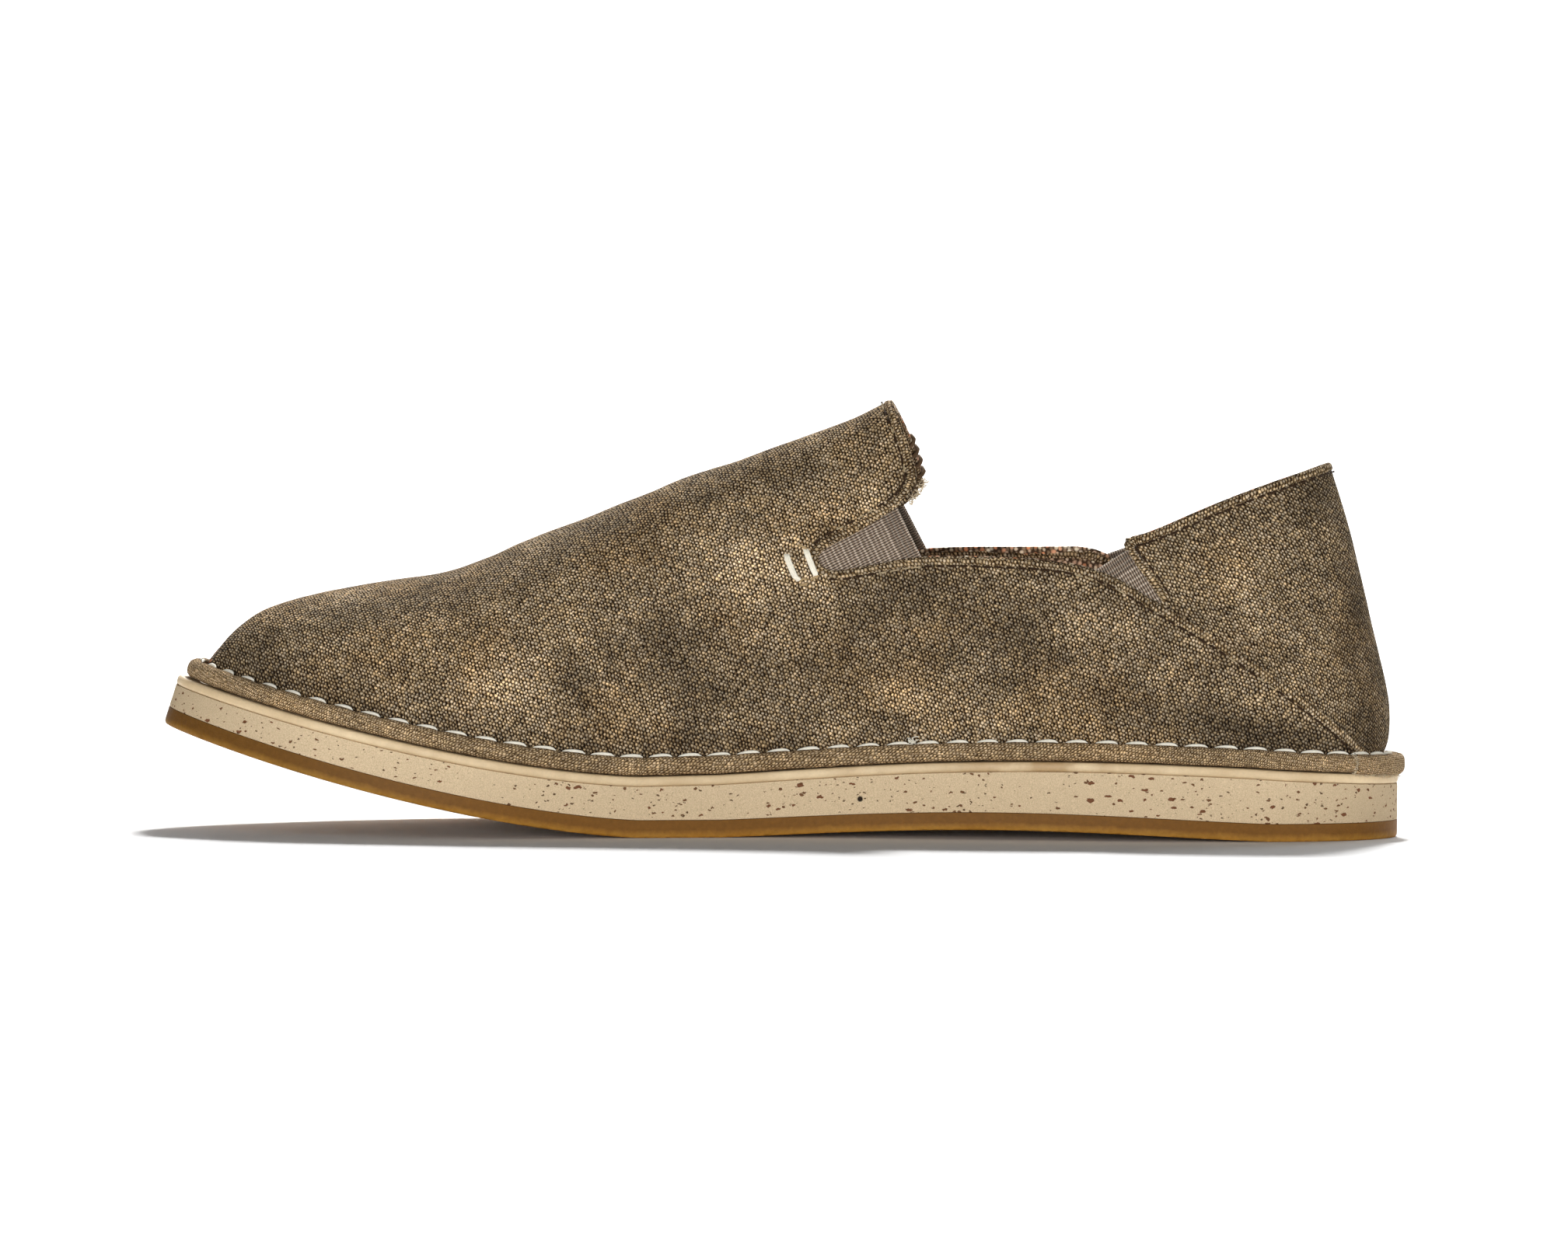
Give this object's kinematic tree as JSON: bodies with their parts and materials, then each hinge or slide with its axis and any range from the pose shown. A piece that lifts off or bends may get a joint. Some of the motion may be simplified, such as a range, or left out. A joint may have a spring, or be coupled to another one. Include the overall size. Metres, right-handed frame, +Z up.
{
  "type": "slip-on shoe",
  "caption": "Right canvas slip-on shoe with a stitched-down upper, elastic side gores, a flecked cream midsole and a gum-rubber outsole.",
  "frame": {"origin": "on the floor, under the middle of the shoe's box", "axes": "+X towards the heel, -X towards the toe, -Y the inner (medial) side, +Y the outer (lateral) side, +Z up"},
  "size_m": [0.3048, 0.1062, 0.1064],
  "materials": {
    "gum_rubber": "satin amber gum rubber",
    "flecked_foam": "matte cream foam with brown flecks",
    "runner_band": "smooth satin tan band",
    "binding_canvas": "plain-woven canvas, folded and stitched",
    "footbed": "matte woven footbed cover",
    "canvas": "washed plain-woven canvas, mottled",
    "elastic": "ribbed elastic webbing"
  },
  "bodies": {
    "root": {"outsole": "gum_rubber", "midsole": "flecked_foam", "runner": "runner_band", "welt_binding": "binding_canvas", "insole": "footbed", "upper": "canvas", "front_gore_medial": "elastic", "front_gore_lateral": "elastic", "rear_gore_medial": "elastic", "rear_gore_lateral": "elastic"}
  },
  "joints": []
}
